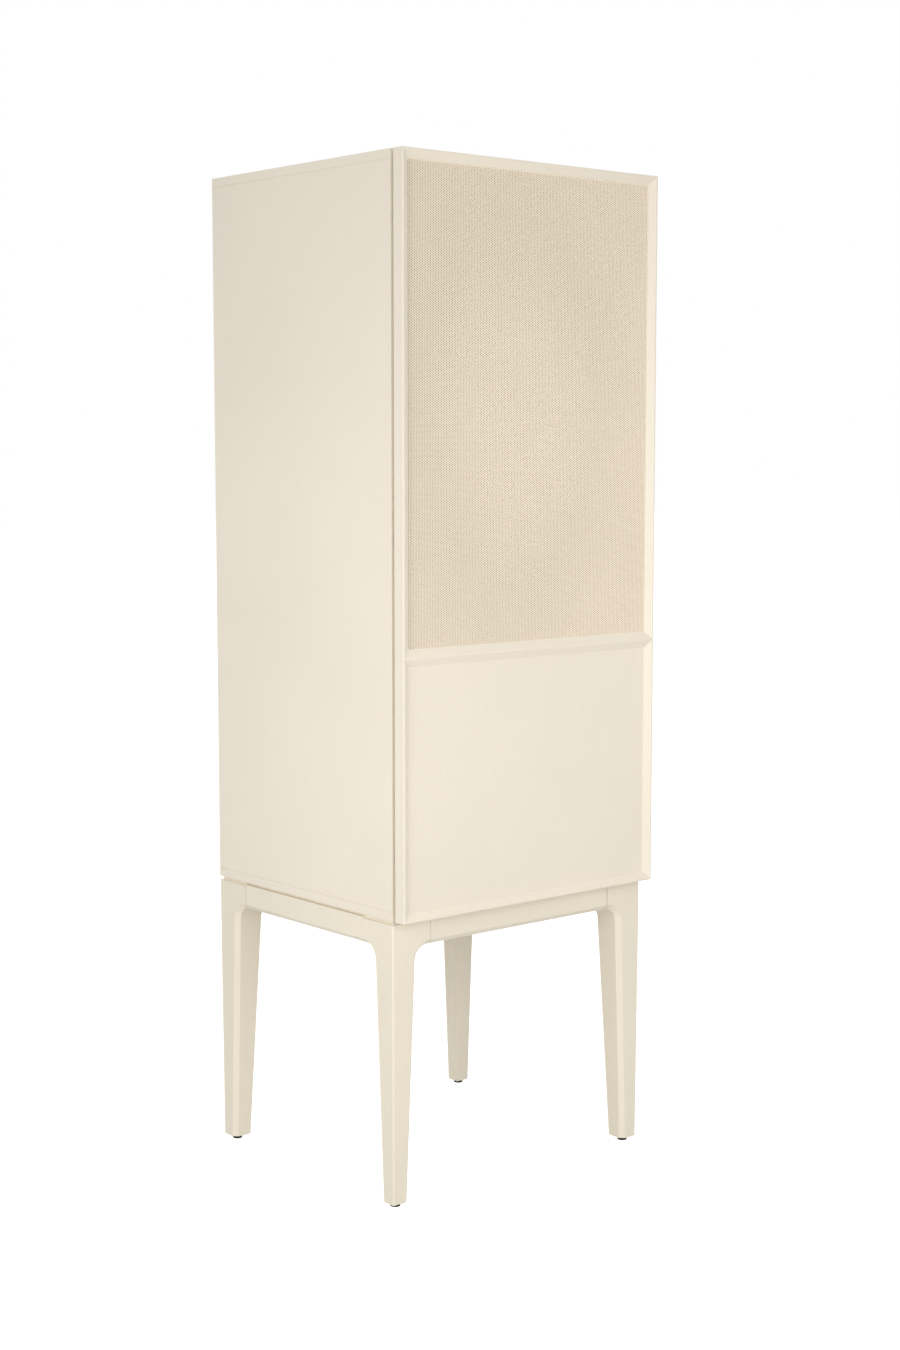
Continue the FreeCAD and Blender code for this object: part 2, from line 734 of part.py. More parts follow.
# Foot glides: a many-sided button with a sloped rim, and a stem in the foot
GLIDE_RINGS = (("glide_diameter / 2 - glide_rim", "0"), ("glide_diameter / 2", "glide_rim"),
               ("glide_diameter / 2", "glide_height"))


def glide(label, x, y):
    rings = []
    for count, (radius, level) in enumerate(GLIDE_RINGS):
        ring = doc.addObject("Part::RegularPolygon", "%s_ring_%d" % (label, count))
        ring.Polygon = GLIDE_SIDES
        bind(ring, "Circumradius", radius)
        place(ring, z=level)
        rings.append(ring)
    button = doc.addObject("Part::Loft", label + "_button")
    button.Sections = rings
    button.Solid = True
    button.Ruled = True
    stem = rod(label + "_stem", "stem_diameter", "stem_length", HIDDEN_SIDES)
    place(stem, z="glide_height")
    whole = joined(label, "Fuse", button, stem)
    place(whole, x=x, y=y)
    return finish(whole)


for corner_name, (corner_x, corner_y, _) in CORNERS.items():
    inward_x = " + foot_middle" if "left" in corner_name else " - foot_middle"
    inward_y = " + foot_middle" if "front" in corner_name else " - foot_middle"
    glide("glide_" + corner_name, corner_x + inward_x, corner_y + inward_y)

# Door board: a shallow seat for the sheet in front, cup recesses behind
HINGE_LEVELS = ["hinge_end", "case_height / 2", "case_height - hinge_end"]

door_board = new_body("door_board_wood")
grow(door_board, "board", "XZ_Plane", "door_thick",
     loops=[box_loop("-half_width", "0", "half_width", "case_height")])
rear_rim = edges_where(door_board, lambda p: near(p.y, number("door_thick")))
dress(door_board, "Fillet", "rear_rounds", "door_round", rear_rim)
cut(door_board, "sheet_seat", "XZ_Plane", "sheet_thick", loops=[box_loop(
    "-half_width + sheet_border - slip_clear", "sheet_low - slip_clear",
    "half_width - sheet_border + slip_clear", "case_height - sheet_border + slip_clear")])
place(finish(drill(door_board, "door_board", [
    hole("-half_width + cup_edge", "door_thick", z, "-y", "cup_diameter + 2 * cup_clear",
         "cup_depth + cup_clear", CUP_SIDES) for z in HINGE_LEVELS])),
      y="board_front", z="case_bottom")

# Perforated sheet, lying in its seat; its edge is under the mouldings
mesh_sheet = new_body("mesh_sheet")
grow(mesh_sheet, "plate", "XZ_Plane", "sheet_thick", loops=[box_loop(
    "-half_width + sheet_border", "sheet_low", "half_width - sheet_border",
    "case_height - sheet_border")])
place(mesh_sheet, y="board_front", z="case_bottom")
finish(mesh_sheet)

# Outer mouldings: a narrow flat arris and a long bevel down to the board, mitred at both ends
MOULD_SECTION = [
    ("0", "0"),
    ("mould_arris", "0"),
    ("mould_width", "mould_proud - mould_lip"),
    ("mould_width", "mould_proud"),
    ("0", "mould_proud"),
]


def along(body, name, x, y):
    """An edge that runs the moulding's whole length at x, y of its section."""
    edge = body.Tip.Shape.Edges[int(name[4:]) - 1]
    return all(near(vertex.X, x) and near(vertex.Y, y) for vertex in edge.Vertexes)


def moulding(label, length, notch=None):
    """Drawn along Z with its outer edge at x = 0; a notch takes the middle rail's point."""
    body = new_body(label)
    grow(body, "section", "XY_Plane", length, loops=[MOULD_SECTION])
    every = edges_where(body, lambda p: True)
    dress(body, "Fillet", "outer_arris", "arris_round",
          [name for name in every if along(body, name, 0, 0)])
    every = edges_where(body, lambda p: True)
    dress(body, "Fillet", "inner_arris", "ridge_round",
          [name for name in every if along(body, name, number("mould_arris"), 0)])
    far = "mould_width + overrun"
    low = [("-overrun", "-overrun"), (far, "-overrun"), (far, far)]
    high = [("-overrun", length + " + overrun"), (far, "%s - mould_width - overrun" % length),
            (far, length + " + overrun")]
    cut(body, "mitres", "XZ_Plane", "mould_proud", loops=[low, high])
    if notch:
        rise = "(mould_width + overrun - mould_arris / 2)"
        mouth = [("mould_arris / 2", notch), (far, "%s - %s" % (notch, rise)),
                 (far, "%s + %s" % (notch, rise))]
        cut(body, "bird_mouth", "XZ_Plane", "mould_proud", loops=[mouth])
    return finish(body)


place(moulding("moulding_left", "case_height", "rail_height"),
      x="-half_width", y="door_front", z="case_bottom", axis=(0, 1, 0), angle=0)
place(moulding("moulding_top", "cab_width"),
      x="-half_width", y="door_front", z="case_bottom + case_height", axis=(0, 1, 0), angle=90)
place(moulding("moulding_right", "case_height", "case_height - rail_height"),
      x="half_width", y="door_front", z="case_bottom + case_height", axis=(0, 1, 0), angle=180)
place(moulding("moulding_bottom", "cab_width"),
      x="half_width", y="door_front", z="case_bottom", axis=(0, 1, 0), angle=270)

# Middle rail: a ridge with two bevels whose ends are pointed into the stiles
middle_rail = new_body("middle_rail")
grow(middle_rail, "section", "YZ_Plane", "cab_width", loops=[[
    ("0", "-mould_arris / 2"),
    ("mould_proud - mould_lip", "-rail_half"),
    ("mould_proud", "-rail_half"),
    ("mould_proud", "rail_half"),
    ("mould_proud - mould_lip", "rail_half"),
    ("0", "mould_arris / 2"),
]])
ridge = edges_where(middle_rail, lambda p: near(p.y, 0))
ridge = [name for name in ridge if not upright(middle_rail, name)]
dress(middle_rail, "Fillet", "ridge_rounds", "ridge_round", ridge)
RAIL_RISE = "(mould_width + overrun - mould_arris / 2)"
left_point = [("mould_arris / 2", "0"), ("mould_width + overrun", RAIL_RISE),
              ("-overrun", RAIL_RISE), ("-overrun", "-" + RAIL_RISE),
              ("mould_width + overrun", "-" + RAIL_RISE)]
right_point = [("cab_width - (%s)" % x, y) for x, y in left_point]
cut(middle_rail, "points", "XZ_Plane", "mould_proud", loops=[left_point, right_point])
place(middle_rail, x="-half_width", y="door_front", z="case_bottom + rail_height")
finish(middle_rail)


def hinge_cup(label, level):
    """A pressed cup with a flange; drawn with its mouth at y = 0, facing +Y."""
    body = new_body(label + "_flange")
    wing = box_loop("flange_offset - flange_width / 2", "-flange_height / 2",
                    "flange_offset + flange_width / 2", "flange_height / 2")
    grow(body, "wings", "XZ_Plane", "flange_thick", loops=[wing])
    rim = rod(label + "_rim", "cup_diameter + 2 * rim_width", "flange_thick", CUP_SIDES)
    place(rim, **ALONG["+y"])
    shell = rod(label + "_shell", "cup_diameter", "cup_depth", CUP_SIDES)
    place(shell, **ALONG["-y"])
    solid = doc.addObject("Part::MultiFuse", label + "_solid")
    solid.Shapes = [body, rim, shell]
    solid.Refine = True
    doc.recompute()
    cup = drill(solid, label, [hole("0", "flange_thick", "0", "-y", "cup_inner",
                                    "cup_depth - cup_wall + flange_thick", CUP_SIDES)])
    place(cup, x="-half_width + cup_edge", y="door_rear", z="case_bottom + " + level)
    return finish(cup)


def hinge_plate(label, level):
    """The cross-shaped plate on the side panel; drawn with the panel's face at x = 0."""
    body = new_body(label)
    middle = "plate_front + plate_length / 2"
    wing = box_loop(middle + " - plate_wing_width / 2", "-plate_wing_height / 2",
                    middle + " + plate_wing_width / 2", "plate_wing_height / 2")
    grow(body, "wings", "YZ_Plane", "plate_thick", loops=[wing])
    boss = box_loop("plate_front", "-plate_boss_width / 2",
                    "plate_front + plate_length", "plate_boss_width / 2")
    grow(body, "boss", "YZ_Plane", "plate_boss_thick", loops=[boss])
    tips = edges_where(body, lambda p: near(abs(p.z), number("plate_wing_height / 2")))
    tips = [name for name in tips
            if near(body.Tip.Shape.Edges[int(name[4:]) - 1].Length, number("plate_thick"))]
    dress(body, "Chamfer", "wing_chamfers", "plate_chamfer", tips)
    place(body, x="-inner_width / 2", y="case_front", z="case_bottom + " + level)
    return finish(body)


def hinge_arm(label, level):
    """The channel over the plate, with a narrower nose that dips into the cup's mouth."""
    body = new_body(label)
    rest = "plate_boss_thick + boss_clear"
    outline = [
        ("nose_low", "-nose_reach"),
        ("nose_high", "-nose_reach"),
        ("arm_height", "nose_reach"),
        ("arm_height", "plate_front + plate_length"),
        (rest, "plate_front + plate_length + boss_clear"),
        ("plate_thick + boss_clear", "plate_front + plate_length"),
        ("plate_thick + boss_clear", "plate_front"),
    ]
    grow(body, "profile", "XY_Plane", "arm_width", loops=[outline], offset="-arm_width / 2")
    channel = box_loop("-overrun", "plate_front - boss_clear", "arm_height - arm_wall",
                       "plate_front + plate_length + overrun")
    cut(body, "channel", "XY_Plane", "arm_width - 2 * arm_wall", loops=[channel],
        offset="-arm_width / 2 + arm_wall")
    for side, offset in (("low", "-arm_width / 2"), ("high", "nose_width / 2")):
        cheek = box_loop("-overrun", "-nose_reach - overrun", "arm_height + overrun", "nose_reach")
        cut(body, side + "_cheek", "XY_Plane", "(arm_width - nose_width) / 2", loops=[cheek],
            offset=offset)
    place(body, x="-inner_width / 2", y="case_front", z="case_bottom + " + level)
    return finish(body)


for hinge_name, hinge_level in zip(("lower", "middle", "upper"), HINGE_LEVELS):
    hinge_cup("hinge_cup_" + hinge_name, hinge_level)
    hinge_plate("hinge_plate_" + hinge_name, hinge_level)
    hinge_arm("hinge_arm_" + hinge_name, hinge_level)

# Push latch on the right side, under the fixed shelf, and the plate that it meets
latch_block = new_body("latch_block")
grow(latch_block, "block", "XZ_Plane", "latch_length", loops=[box_loop(
    "-latch_thick", "-latch_width / 2", "0", "latch_width / 2")])
block_edges = edges_where(latch_block, lambda p: near(p.x, -number("latch_thick")))
block_edges = [name for name in block_edges
               if near(latch_block.Tip.Shape.Edges[int(name[4:]) - 1].Length,
                       number("latch_length"))]
dress(latch_block, "Chamfer", "long_chamfers", "latch_chamfer", block_edges)
PLUNGER_ROOM = "plunger_front + plunger_length - latch_inset + plunger_travel + strike_clear"
place(finish(drill(latch_block, "latch_housing", [
    hole("-latch_axis", "0", "0", "+y", "plunger_diameter + 2 * plunger_clear", PLUNGER_ROOM,
         SHOWN_SIDES)])),
      x="inner_width / 2", y="case_front + latch_inset", z="case_bottom + latch_level")

latch_plunger = rod("latch_plunger", "plunger_diameter", "plunger_length", SHOWN_SIDES)
place(latch_plunger, **ALONG["+y"], x="inner_width / 2 - latch_axis",
      y="case_front + plunger_front", z="case_bottom + latch_level")
finish(latch_plunger)

strike_plate = new_body("strike_plate")
grow(strike_plate, "plate", "XZ_Plane", "strike_thick", loops=[box_loop(
    "-strike_width / 2", "-strike_length / 2", "strike_width / 2", "strike_length / 2")])
place(strike_plate, x="inner_width / 2 - latch_axis", y="door_rear",
      z="case_bottom + latch_level")
finish(strike_plate)

# Check every object, then write one file for each piece
doc.recompute()
for item in doc.Objects:
    if "Invalid" in item.State or "Error" in item.State:
        raise ValueError("%s failed: %s" % (item.Name, item.State))
os.makedirs("parts", exist_ok=True)
for node in NODES:
    if node.Shape.isNull() or not node.Shape.isValid():
        raise ValueError("%s has no valid shape" % node.Label)
    node.Shape.exportStep("parts/%s.step" % node.Label)
print(len(NODES), "nodes")
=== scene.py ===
"""Looks of the one-door cabinet: lacquer, perforated sheet, fittings, camera and studio light."""

import math

import bpy
import numpy as np
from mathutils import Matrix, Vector


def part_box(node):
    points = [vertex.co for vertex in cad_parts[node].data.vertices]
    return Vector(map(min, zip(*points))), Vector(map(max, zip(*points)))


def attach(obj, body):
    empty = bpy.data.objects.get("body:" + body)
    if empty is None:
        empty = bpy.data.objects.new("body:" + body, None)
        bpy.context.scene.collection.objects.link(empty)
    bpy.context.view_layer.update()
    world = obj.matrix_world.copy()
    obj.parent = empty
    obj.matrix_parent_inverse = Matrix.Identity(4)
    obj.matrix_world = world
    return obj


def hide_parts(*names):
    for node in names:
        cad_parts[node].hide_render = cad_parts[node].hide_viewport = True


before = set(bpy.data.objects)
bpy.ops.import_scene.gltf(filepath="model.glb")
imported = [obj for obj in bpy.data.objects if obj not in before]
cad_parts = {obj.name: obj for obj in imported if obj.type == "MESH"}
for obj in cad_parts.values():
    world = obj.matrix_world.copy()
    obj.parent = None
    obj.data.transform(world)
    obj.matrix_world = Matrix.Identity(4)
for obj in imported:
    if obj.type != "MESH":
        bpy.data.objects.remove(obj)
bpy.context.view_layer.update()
MM = 0.001


# Node trees
class Nodes:
    """Short calls for building one node tree."""

    def __init__(self, tree):
        self.tree = tree

    def add(self, kind, inputs=None, **settings):
        node = self.tree.nodes.new("ShaderNode" + kind)
        for key, value in settings.items():
            setattr(node, key, value)
        for key, value in (inputs or {}).items():
            self.put(node.inputs[key], value)
        return node

    def put(self, socket, value):
        """Link another node's output to the socket, or set the socket to a plain value."""
        if isinstance(value, bpy.types.NodeSocket):
            self.tree.links.new(value, socket)
        else:
            socket.default_value = value

    def place(self, scale=(1, 1, 1), shift=(0, 0, 0)):
        """Points of the piece in metres, stretched by scale and then moved by shift."""
        spots = self.add("TexCoord").outputs["Object"]
        return self.add("Mapping", {"Vector": spots, "Location": shift, "Scale": scale}).outputs[0]

    def noise(self, vector, scale, detail=3, rough=0.5):
        return self.add("TexNoise", {"Vector": vector, "Scale": scale, "Detail": detail,
                                     "Roughness": rough}).outputs[0]

    def spread(self, value, result, band=(0.0, 1.0)):
        """Turn a value in the band into one between the two results, and stay at them past its ends."""
        return self.add("MapRange", {"Value": value, "From Min": band[0], "From Max": band[1],
                                     "To Min": result[0], "To Max": result[1]}).outputs[0]

    def maths(self, operation, *values):
        return self.add("Math", dict(enumerate(values)), operation=operation).outputs[0]

    def product(self, first, *others):
        for other in others:
            first = self.maths("MULTIPLY", first, other)
        return first


class Surface(Nodes):
    """A new material, with short calls for its shader."""

    def __init__(self, name):
        self.material = bpy.data.materials.new(name)
        self.material.use_nodes = True
        super().__init__(self.material.node_tree)
        self.shader = self.tree.nodes["Principled BSDF"]

    def set(self, **inputs):
        for key, value in inputs.items():
            self.put(self.shader.inputs[key.replace("_", " ")], value)

    def shade(self, colour, value):
        """The colour times a value."""
        return self.add("Mix", {"Factor": 1.0, "A": (*colour, 1), "B": value},
                        data_type="RGBA", blend_type="MULTIPLY").outputs["Result"]

    def bump(self, height, depth, normal=None):
        inputs = {"Height": height, "Distance": depth, "Strength": 1.0}
        if normal is not None:
            inputs["Normal"] = normal
        return self.add("Bump", inputs).outputs[0]


def linear(red, green, blue):
    """An sRGB colour, 0 to 255, as linear numbers."""
    def turn(value):
        value /= 255
        return value / 12.92 if value <= 0.04045 else ((value + 0.055) / 1.055) ** 2.4
    return turn(red), turn(green), turn(blue)


# Most of a noise's values lie in this band
NOISE_BAND = (0.3, 0.7)

# Lacquer over veneer; scales are per metre, tones multiply the colour
CREAM = linear(244, 235, 218)
BASE_CREAM = linear(243, 234, 215)
SHEET_CREAM = linear(249, 235, 213)
# a dark brown painted as the shade seen at the bottom of the sheet's holes
HOLE_PAINTED_SHADE = linear(130, 100, 70)
ALONG_GRAIN = 0.045
GRAIN = {along: tuple(ALONG_GRAIN if axis == along else 1 for axis in "xyz") for along in "xyz"}
GRAIN_SCALE, PORE_SCALE, CLOUD_SCALE, PEEL_SCALE, SHEEN_SCALE = 620, 1450, 2.6, 520, 38
GRAIN_TONE, CLOUD_TONE = (0.985, 1.012), (0.975, 1.02)
PORE_BAND, PORE_SHADE = (0.30, 0.42), 0.05
GRAIN_RELIEF, PEEL_RELIEF, LACQUER_RELIEF = 0.55, 0.30, 0.045 * MM
LACQUER_ROUGHNESS, LACQUER_GLOSS = (0.40, 0.52), 0.22
SOFT_EDGE = 0.5 * MM


def lacquer(name, along, colour, pores, edge=SOFT_EDGE, painted_light_of=None, painted_shade=None):
    """Satin lacquer over veneer: faint grain along one axis, filled pores, soft clouds.

    pores says how open the pores are, edge is the radius that sharp edges seem to have; the last two give
    painted light and shade over the whole piece and the share of painted dark shade that takes the paint's
    place.
    """
    m = Surface(name)
    fibre = m.place(GRAIN[along])
    plain = m.place()
    grain = m.noise(fibre, GRAIN_SCALE, detail=4, rough=0.6)
    pore = m.spread(m.noise(fibre, PORE_SCALE, detail=2), (1.0, 0.0), PORE_BAND)
    tone = m.product(m.spread(m.noise(plain, CLOUD_SCALE), CLOUD_TONE, NOISE_BAND),
                     m.spread(grain, GRAIN_TONE, NOISE_BAND),
                     m.spread(pore, (1.0, 1.0 - PORE_SHADE * pores)))
    # painted light and shade spread over the whole piece
    if painted_light_of:
        tone = m.product(tone, painted_light_of(m))
    paint = m.shade(colour, tone)
    # painted shade: where the mask is 1, a dark brown takes the paint's place
    if painted_shade:
        paint = m.add("Mix", {"Factor": painted_shade(m), "A": paint, "B": m.shade(HOLE_PAINTED_SHADE, tone)},
                      data_type="RGBA").outputs["Result"]
    relief = m.maths("ADD", m.product(grain, GRAIN_RELIEF), m.product(pore, -pores))
    relief = m.maths("ADD", relief, m.product(m.noise(plain, PEEL_SCALE, detail=2), PEEL_RELIEF))
    soft = m.add("Bevel", {"Radius": edge}, samples=4).outputs[0] if edge else None
    m.set(Base_Color=paint, Normal=m.bump(relief, LACQUER_RELIEF, soft),
          Roughness=m.spread(m.noise(plain, SHEEN_SCALE, detail=4), LACQUER_ROUGHNESS, NOISE_BAND),
          Specular_IOR_Level=LACQUER_GLOSS)
    return m.material


# Painted light and shade on the sheet: its lighter middle and the reach of that, the painted shade of the
# ring round it and the painted light of the field outside the ring by how many reaches away they are, the
# painted shade along its left edge, and the painted light by how far across
MIDDLE_X, MIDDLE_Z = -0.045, 1.40
REACH_X, REACH_Z = 0.19, 0.30
RING_PAINTED_SHADE, RING_BAND = (1.015, 0.967), (0.45, 1.05)
FIELD_PAINTED_LIGHT, FIELD_BAND = (1.0, 1.03), (1.05, 1.6)
EDGE_PAINTED_SHADE, EDGE_WIDTH = (0.90, 1.0), 14 * MM
ACROSS_PAINTED_LIGHT, ACROSS_BAND = (0.965, 1.035), (-0.26, 0.26)


def sheet_painted_light(m):
    """Painted light and shade on the sheet: a lighter middle, a darker ring, painted shade along the left
    edge, lighter to the right.
    """
    flat = m.place((1 / REACH_X, 0, 1 / REACH_Z), (-MIDDLE_X / REACH_X, 0, -MIDDLE_Z / REACH_Z))
    away = m.add("VectorMath", {0: flat}, operation="LENGTH").outputs["Value"]
    across = m.add("SeparateXYZ", {0: m.place()}).outputs[0]
    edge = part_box("moulding_left")[1].x
    return m.product(m.spread(away, RING_PAINTED_SHADE, RING_BAND), m.spread(away, FIELD_PAINTED_LIGHT, FIELD_BAND),
                     m.spread(across, EDGE_PAINTED_SHADE, (edge, edge + EDGE_WIDTH)),
                     m.spread(across, ACROSS_PAINTED_LIGHT, ACROSS_BAND))


# How far from the seat's floor, and past the sheet's outline, a point still counts as floor
FLOOR_DEPTH = 0.4 * MM
FLOOR_MARGIN = 1 * MM


def seat_floor_painted_shade(m):
    """1 on the floor of the seat that the perforated sheet lies in, which is painted dark as the shade seen
    through the holes.
    """
    low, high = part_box("mesh_sheet")
    x, y, z = m.add("SeparateXYZ", {0: m.place()}).outputs
    return m.product(m.maths("COMPARE", y, high.y, FLOOR_DEPTH),
                     m.maths("COMPARE", x, (low.x + high.x) / 2, (high.x - low.x) / 2 + FLOOR_MARGIN),
                     m.maths("COMPARE", z, (low.z + high.z) / 2, (high.z - low.z) / 2 + FLOOR_MARGIN))


# Metal: fine scuffs and soft patches
SCUFF_SCALE, SCUFF_BAND, SCUFF_RELIEF = 1800, (0.25, 0.75), 0.012 * MM
PATCH_SCALE, PATCH_TONE = 90, (0.9, 1.05)


def metal(name, colour, roughness, brushed=None):
    """Plated metal with fine scuffs, brushed along an axis or not at all."""
    m = Surface(name)
    scuff = m.noise(m.place(GRAIN[brushed] if brushed else (1, 1, 1)), SCUFF_SCALE, rough=0.6)
    patch = m.noise(m.place(), PATCH_SCALE)
    m.set(Base_Color=m.shade(colour, m.spread(patch, PATCH_TONE, NOISE_BAND)), Metallic=1.0,
          Roughness=m.spread(scuff, roughness, SCUFF_BAND), Normal=m.bump(scuff, SCUFF_RELIEF))
    return m.material


# Plastic: a spark-eroded skin and a faint mottle
SKIN_SCALE, SKIN_RELIEF = 2600, 0.02 * MM
MOTTLE_SCALE, MOTTLE_TONE = 140, (0.85, 1.1)


def plastic(name, colour, roughness, gloss=0.5):
    """Moulded plastic with a fine spark-eroded skin."""
    m = Surface(name)
    skin = m.noise(m.place(), SKIN_SCALE, detail=2)
    mottle = m.noise(m.place(), MOTTLE_SCALE)
    m.set(Base_Color=m.shade(colour, m.spread(mottle, MOTTLE_TONE, NOISE_BAND)),
          Roughness=m.spread(skin, roughness, NOISE_BAND), Normal=m.bump(skin, SKIN_RELIEF),
          Specular_IOR_Level=gloss)
    return m.material


# Bare wood: short dark flecks
BEECH = linear(214, 178, 132)
FLECK_SCALE, FLECK_BAND, FLECK_RELIEF = 2400, (0.5, 0.62), 0.03 * MM
FLECK_TONE, FLECK_ROUGHNESS, ROUGHNESS_BAND = (1.0, 0.82), (0.7, 0.6), (0.8, 1.0)


def bare_wood(name):
    """Bare dowel wood with short dark flecks."""
    m = Surface(name)
    fleck = m.spread(m.noise(m.place(GRAIN["z"]), FLECK_SCALE, rough=0.6), FLECK_TONE, FLECK_BAND)
    m.set(Base_Color=m.shade(BEECH, fleck), Normal=m.bump(fleck, FLECK_RELIEF),
          Roughness=m.spread(fleck, FLECK_ROUGHNESS, ROUGHNESS_BAND))
    return m.material


# the sheet carries painted light and shade; the door board's seat floor is painted dark as shade behind the
# holes
SHEET_PAINT = lacquer("sheet_lacquer", "z", SHEET_CREAM, 0.0, edge=0, painted_light_of=sheet_painted_light)
DOOR_BOARD = lacquer("door_board_lacquer", "z", CREAM, 0.35, painted_shade=seat_floor_painted_shade)
STEEL = metal("hinge_steel", (0.60, 0.59, 0.57), (0.22, 0.42), "y")
SCREW_STEEL = metal("screw_steel", (0.56, 0.55, 0.53), (0.25, 0.45))
ZINC = metal("fitting_zinc", (0.52, 0.52, 0.50), (0.38, 0.58))
BLACK = plastic("glide_plastic", linear(26, 24, 23), (0.54, 0.68), gloss=0.12)
GREY = plastic("latch_plastic", linear(196, 193, 186), (0.39, 0.53))
WOOD = bare_wood("dowel_wood")

HINGES = ("lower", "middle", "upper")
CORNERS = ("front_left", "front_right", "rear_left", "rear_right")

# Lacquered nodes: kind, colour, how open the pores are, and the nodes by the axis of their grain
LACQUERED = (
    ("case", CREAM, 0.35, {
        "x": ["top_panel", "bottom_panel", "fixed_shelf", "lower_shelf", "middle_shelf", "upper_shelf"],
        "z": ["left_side", "right_side"]}),
    ("back", CREAM, 0.2, {"z": ["back_panel"]}),
    ("base", BASE_CREAM, 0.8, {
        "x": ["apron_front", "apron_rear"], "y": ["apron_left", "apron_right"],
        "z": ["leg_" + corner for corner in CORNERS]}),
    ("door", CREAM, 0.35, {
        "x": ["moulding_top", "moulding_bottom", "middle_rail"], "z": ["moulding_left", "moulding_right"]}),
)
# The other nodes, by their material
OTHERS = (
    (SHEET_PAINT, ["mesh_sheet"]),
    (DOOR_BOARD, ["door_board"]),
    (STEEL, ["hinge_%s_%s" % (part, level) for part in ("cup", "plate", "arm") for level in HINGES]),
    (STEEL, ["shelf_pins", "strike_plate"]),
    (ZINC, ["cam_bolts", "cam_housings", "leg_bolts", "leg_bolt_sleeves"]),
    (BLACK, ["glide_" + corner for corner in CORNERS]),
    (GREY, ["latch_housing", "latch_plunger"]),
    (WOOD, ["case_dowels", "apron_dowels"]),
)


def paint_nodes(material, names):
    """Give the CAD nodes of these names the material."""
    for name in names:
        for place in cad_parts[name].material_slots:
            place.material = material


for kind, colour, pores, grains in LACQUERED:
    for along, names in grains.items():
        paint_nodes(lacquer("%s_lacquer_%s" % (kind, along), along, colour, pores), names)
for material, names in OTHERS:
    paint_nodes(material, names)


# Mesh helpers
SMOOTH_ANGLE = math.radians(40)


def middle_of(node):
    """The middle of a node's box."""
    low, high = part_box(node)
    return (low + high) / 2


def add_object(mesh, material):
    """An object of the mesh's name in the scene, with the material."""
    mesh.materials.append(material)
    piece = bpy.data.objects.new(mesh.name, mesh)
    bpy.context.scene.collection.objects.link(piece)
    return piece


def smooth_piece(name, points, faces, material, body):
    """A piece on a body, shaded smooth up to the smooth angle."""
    mesh = bpy.data.meshes.new(name)
    mesh.from_pydata(points, [], faces)
    mesh.validate()
    mesh.shade_smooth()
    mesh.set_sharp_from_angle(angle=SMOOTH_ANGLE)
    piece = add_object(mesh, material)
    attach(piece, body)
    return piece


def join_rings(rings, size, start=0):
    """Quads between neighbouring rings of the same size, with the numbers starting at start."""
    faces = []
    for ring in range(rings - 1):
        low, high = start + ring * size, start + (ring + 1) * size
        for n in range(size):
            after = (n + 1) % size
            faces.append((low + n, low + after, high + after, high + n))
    return faces


# Screw heads: rounded, with a cross recess. ARM is half an arm's width and TIP its reach, as shares of
# the head's radius, and CROSS has a point at each corner and halfway to the next
ARM, TIP = 0.17, 0.56
CROSS_CORNERS = [(TIP, -ARM), (TIP, ARM), (ARM, ARM), (ARM, TIP), (-ARM, TIP), (-ARM, ARM),
                 (-TIP, ARM), (-TIP, -ARM), (-ARM, -ARM), (-ARM, -TIP), (ARM, -TIP), (ARM, -ARM)]
CROSS = [spot for (x, y), (next_x, next_y) in zip(CROSS_CORNERS, CROSS_CORNERS[1:] + CROSS_CORNERS[:1])
         for spot in ((x, y), ((x + next_x) / 2, (y + next_y) / 2))]
# each ring: share of the cross, share of the circle, height as a share of the head's
HEAD_RINGS = ((0.0, 1.0, 0.0), (0.0, 1.0, 0.35), (0.0, 0.93, 0.68), (0.0, 0.78, 0.88),
              (1.0, 0.0, 1.0), (0.62, 0.0, 0.35))
RECESS_FLOOR = 0.2


def head_points(radius, height):
    """Rings of one head from its foot to its recess, then the middles of its foot and its recess."""
    points = []
    for cross, circle, level in HEAD_RINGS:
        for x, y in CROSS:
            share = (cross + circle / math.hypot(x, y)) * radius
            points.append((x * share, y * share, level * height))
    return points + [(0, 0, 0), (0, 0, RECESS_FLOOR * height)]


def screw_heads(name, spots, facing, radius, height, body):
    """Heads at the given spots, all facing one way, as one piece."""
    turn = Vector(facing).to_track_quat("Z", "Y").to_matrix()
    size, rings = len(CROSS), len(HEAD_RINGS)
    points, faces = [], []
    for spot in spots:
        start = len(points)
        points += [Vector(spot) + turn @ Vector(point) for point in head_points(radius, height)]
        faces += join_rings(rings, size, start)
        last = start + (rings - 1) * size
        foot, recess = last + size, last + size + 1
        for n in range(size):
            after = (n + 1) % size
            faces += [(foot, start + after, start + n), (recess, last + n, last + after)]
    smooth_piece(name, points, faces, SCREW_STEEL, body)


# How far screws are from an edge (inset) or from the middle of what they hold (spread), and how thick
# the wings of a hinge plate are
CUP_SCREW_INSET, CUP_SCREW_SPREAD = 11 * MM, 24 * MM
PLATE_WING, PLATE_SCREW_SPREAD = 1.8 * MM, 16 * MM
ARM_SCREW_SPREAD = 10 * MM
LATCH_REAR_INSET, LATCH_FRONT_INSET, LATCH_SCREW_SPREAD = 7 * MM, 8 * MM, 7.2 * MM
STRIKE_SCREW_SPREAD = 8.5 * MM


